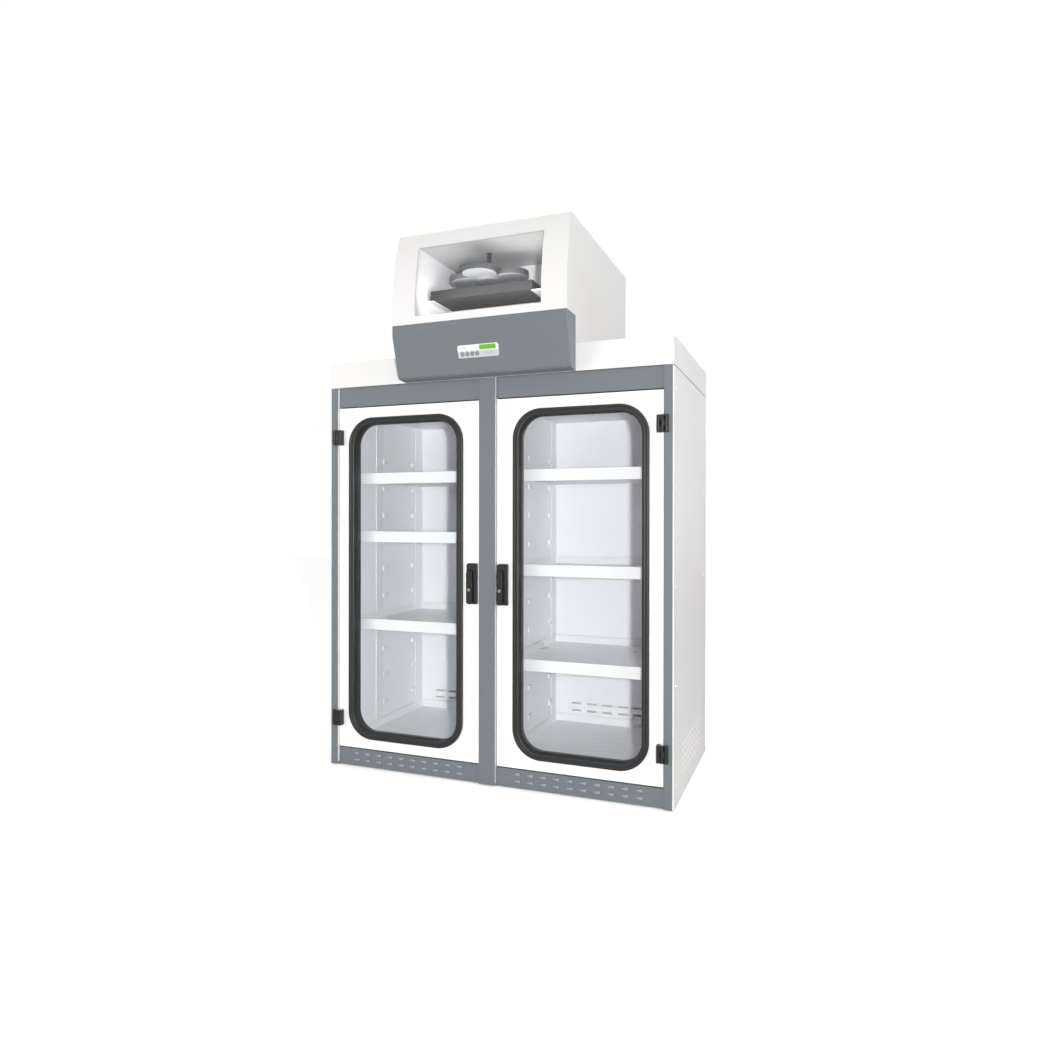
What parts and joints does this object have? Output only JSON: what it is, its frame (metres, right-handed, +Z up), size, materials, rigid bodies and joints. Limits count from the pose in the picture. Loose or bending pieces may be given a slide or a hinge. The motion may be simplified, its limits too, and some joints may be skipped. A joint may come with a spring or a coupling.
{
  "type": "ventilated chemical storage cabinet",
  "caption": "Two-door steel storage cabinet for chemicals, with glazed doors, tray shelves and a carbon filter and blower head on its roof.",
  "frame": {"origin": "on the floor under the middle of the object's bounding box", "axes": "+Z up, the doors face -Y, +X to the right seen from the front"},
  "size_m": [1.4148, 0.868, 2.1],
  "materials": {
    "white_paint": "fine satin powder coat",
    "liner_paint": "smooth satin powder coat",
    "door_paint": "smooth satin powder coat",
    "grey_paint": "blue-grey satin powder coat",
    "deck_paint": "grey satin powder coat",
    "zinc_steel": "zinc plated",
    "foot_rubber": "matt",
    "black_nylon": "moulded, slightly glossy",
    "seal_rubber": "extruded EPDM",
    "window_glass": "clear toughened",
    "clear_sheet": "clear sheet",
    "overlay_film": "printed film",
    "display_green": "back-lit display",
    "button_plastic": "moulded",
    "filter_case": "cased granular carbon",
    "motor_case": "die-cast, painted",
    "impeller_grey": "moulded",
    "lock_brass": "satin"
  },
  "bodies": {
    "cabinet": {"left_side_panel": "white_paint", "right_side_panel": "white_paint", "rear_panel": "white_paint", "front_frame": "white_paint", "roof_box": "white_paint", "head_mid_section": "white_paint", "head_rear_cover": "white_paint", "head_front_cover": "white_paint", "side_liners": "liner_paint", "centre_divider": "liner_paint", "back_liner": "liner_paint", "floor_pan": "liner_paint", "ceiling_liner": "liner_paint", "shelf_standards": "liner_paint", "left_shelves": "liner_paint", "right_shelves": "liner_paint", "floor_trays": "liner_paint", "chamber_walls": "liner_paint", "filter_rails": "liner_paint", "post_covers": "grey_paint", "top_rails": "grey_paint", "kick_panels": "grey_paint", "fascia": "grey_paint", "blower_deck": "deck_paint", "base_pan": "zinc_steel", "hinge_pins": "zinc_steel", "door_catches": "zinc_steel", "panel_screws": "zinc_steel", "head_base": "zinc_steel", "exhaust_grille": "zinc_steel", "foot_glides": "foot_rubber", "hinge_frame_leaves": "black_nylon", "power_inlet": "black_nylon", "inspection_pane": "clear_sheet", "control_overlay": "overlay_film", "display": "display_green", "carbon_filter": "filter_case", "blower_motor": "motor_case"},
    "left_door": {"left_door_panel": "door_paint", "left_window_seal": "seal_rubber", "left_window_pane": "window_glass", "left_hinge_leaves": "black_nylon", "left_handle_housing": "black_nylon"},
    "right_door": {"right_door_panel": "door_paint", "right_window_seal": "seal_rubber", "right_window_pane": "window_glass", "right_hinge_leaves": "black_nylon", "right_handle_housing": "black_nylon"},
    "left_spindle": {"left_handle_spindle": "zinc_steel"},
    "left_lever": {"left_handle_lever": "black_nylon"},
    "left_lock": {"left_lock_plug": "lock_brass"},
    "right_spindle": {"right_handle_spindle": "zinc_steel"},
    "right_lever": {"right_handle_lever": "black_nylon"},
    "right_lock": {"right_lock_plug": "lock_brass"},
    "blower": {"impeller": "impeller_grey"},
    "button_1": {"button_1": "button_plastic"},
    "button_2": {"button_2": "button_plastic"},
    "button_3": {"button_3": "button_plastic"},
    "button_4": {"button_4": "button_plastic"}
  },
  "joints": [
    {"name": "left_door_swing", "type": "hinge", "parent": "cabinet", "child": "left_door", "pos_m": [-0.6665, -0.338, 0.768], "axis": [0, 0, -1], "range_deg": [0, 110]},
    {"name": "left_handle_turn", "type": "hinge", "parent": "left_door", "child": "left_spindle", "pos_m": [-0.0705, -0.32, 0.803], "axis": [0, 1, 0], "range_deg": [0, 90]},
    {"name": "left_lever_lift", "type": "hinge", "parent": "left_spindle", "child": "left_lever", "pos_m": [-0.0705, -0.3365, 0.803], "axis": [-1, 0, 0], "range_deg": [0, 30]},
    {"name": "left_lock_turn", "type": "hinge", "parent": "left_lever", "child": "left_lock", "pos_m": [-0.0705, -0.336, 0.739], "axis": [0, 1, 0], "range_deg": [0, 90]},
    {"name": "right_door_swing", "type": "hinge", "parent": "cabinet", "child": "right_door", "pos_m": [0.6665, -0.338, 0.768], "axis": [0, 0, 1], "range_deg": [0, 110]},
    {"name": "right_handle_turn", "type": "hinge", "parent": "right_door", "child": "right_spindle", "pos_m": [0.0555, -0.32, 0.803], "axis": [0, -1, 0], "range_deg": [0, 90]},
    {"name": "right_lever_lift", "type": "hinge", "parent": "right_spindle", "child": "right_lever", "pos_m": [0.0555, -0.3365, 0.803], "axis": [-1, 0, 0], "range_deg": [0, 30]},
    {"name": "right_lock_turn", "type": "hinge", "parent": "right_lever", "child": "right_lock", "pos_m": [0.0555, -0.336, 0.739], "axis": [0, 1, 0], "range_deg": [0, 90]},
    {"name": "blower_spin", "type": "hinge", "parent": "cabinet", "child": "blower", "pos_m": [-0.028, -0.245, 1.95], "axis": [0, 0, 1], "continuous": true},
    {"name": "button_1_press", "type": "slide", "parent": "cabinet", "child": "button_1", "axis": [0, 0.9576, 0.288], "range_m": [0, 0.0008], "stiffness_N_per_m": 900},
    {"name": "button_2_press", "type": "slide", "parent": "cabinet", "child": "button_2", "axis": [0, 0.9576, 0.288], "range_m": [0, 0.0008], "stiffness_N_per_m": 900},
    {"name": "button_3_press", "type": "slide", "parent": "cabinet", "child": "button_3", "axis": [0, 0.9576, 0.288], "range_m": [0, 0.0008], "stiffness_N_per_m": 900},
    {"name": "button_4_press", "type": "slide", "parent": "cabinet", "child": "button_4", "axis": [0, 0.9576, 0.288], "range_m": [0, 0.0008], "stiffness_N_per_m": 900}
  ]
}
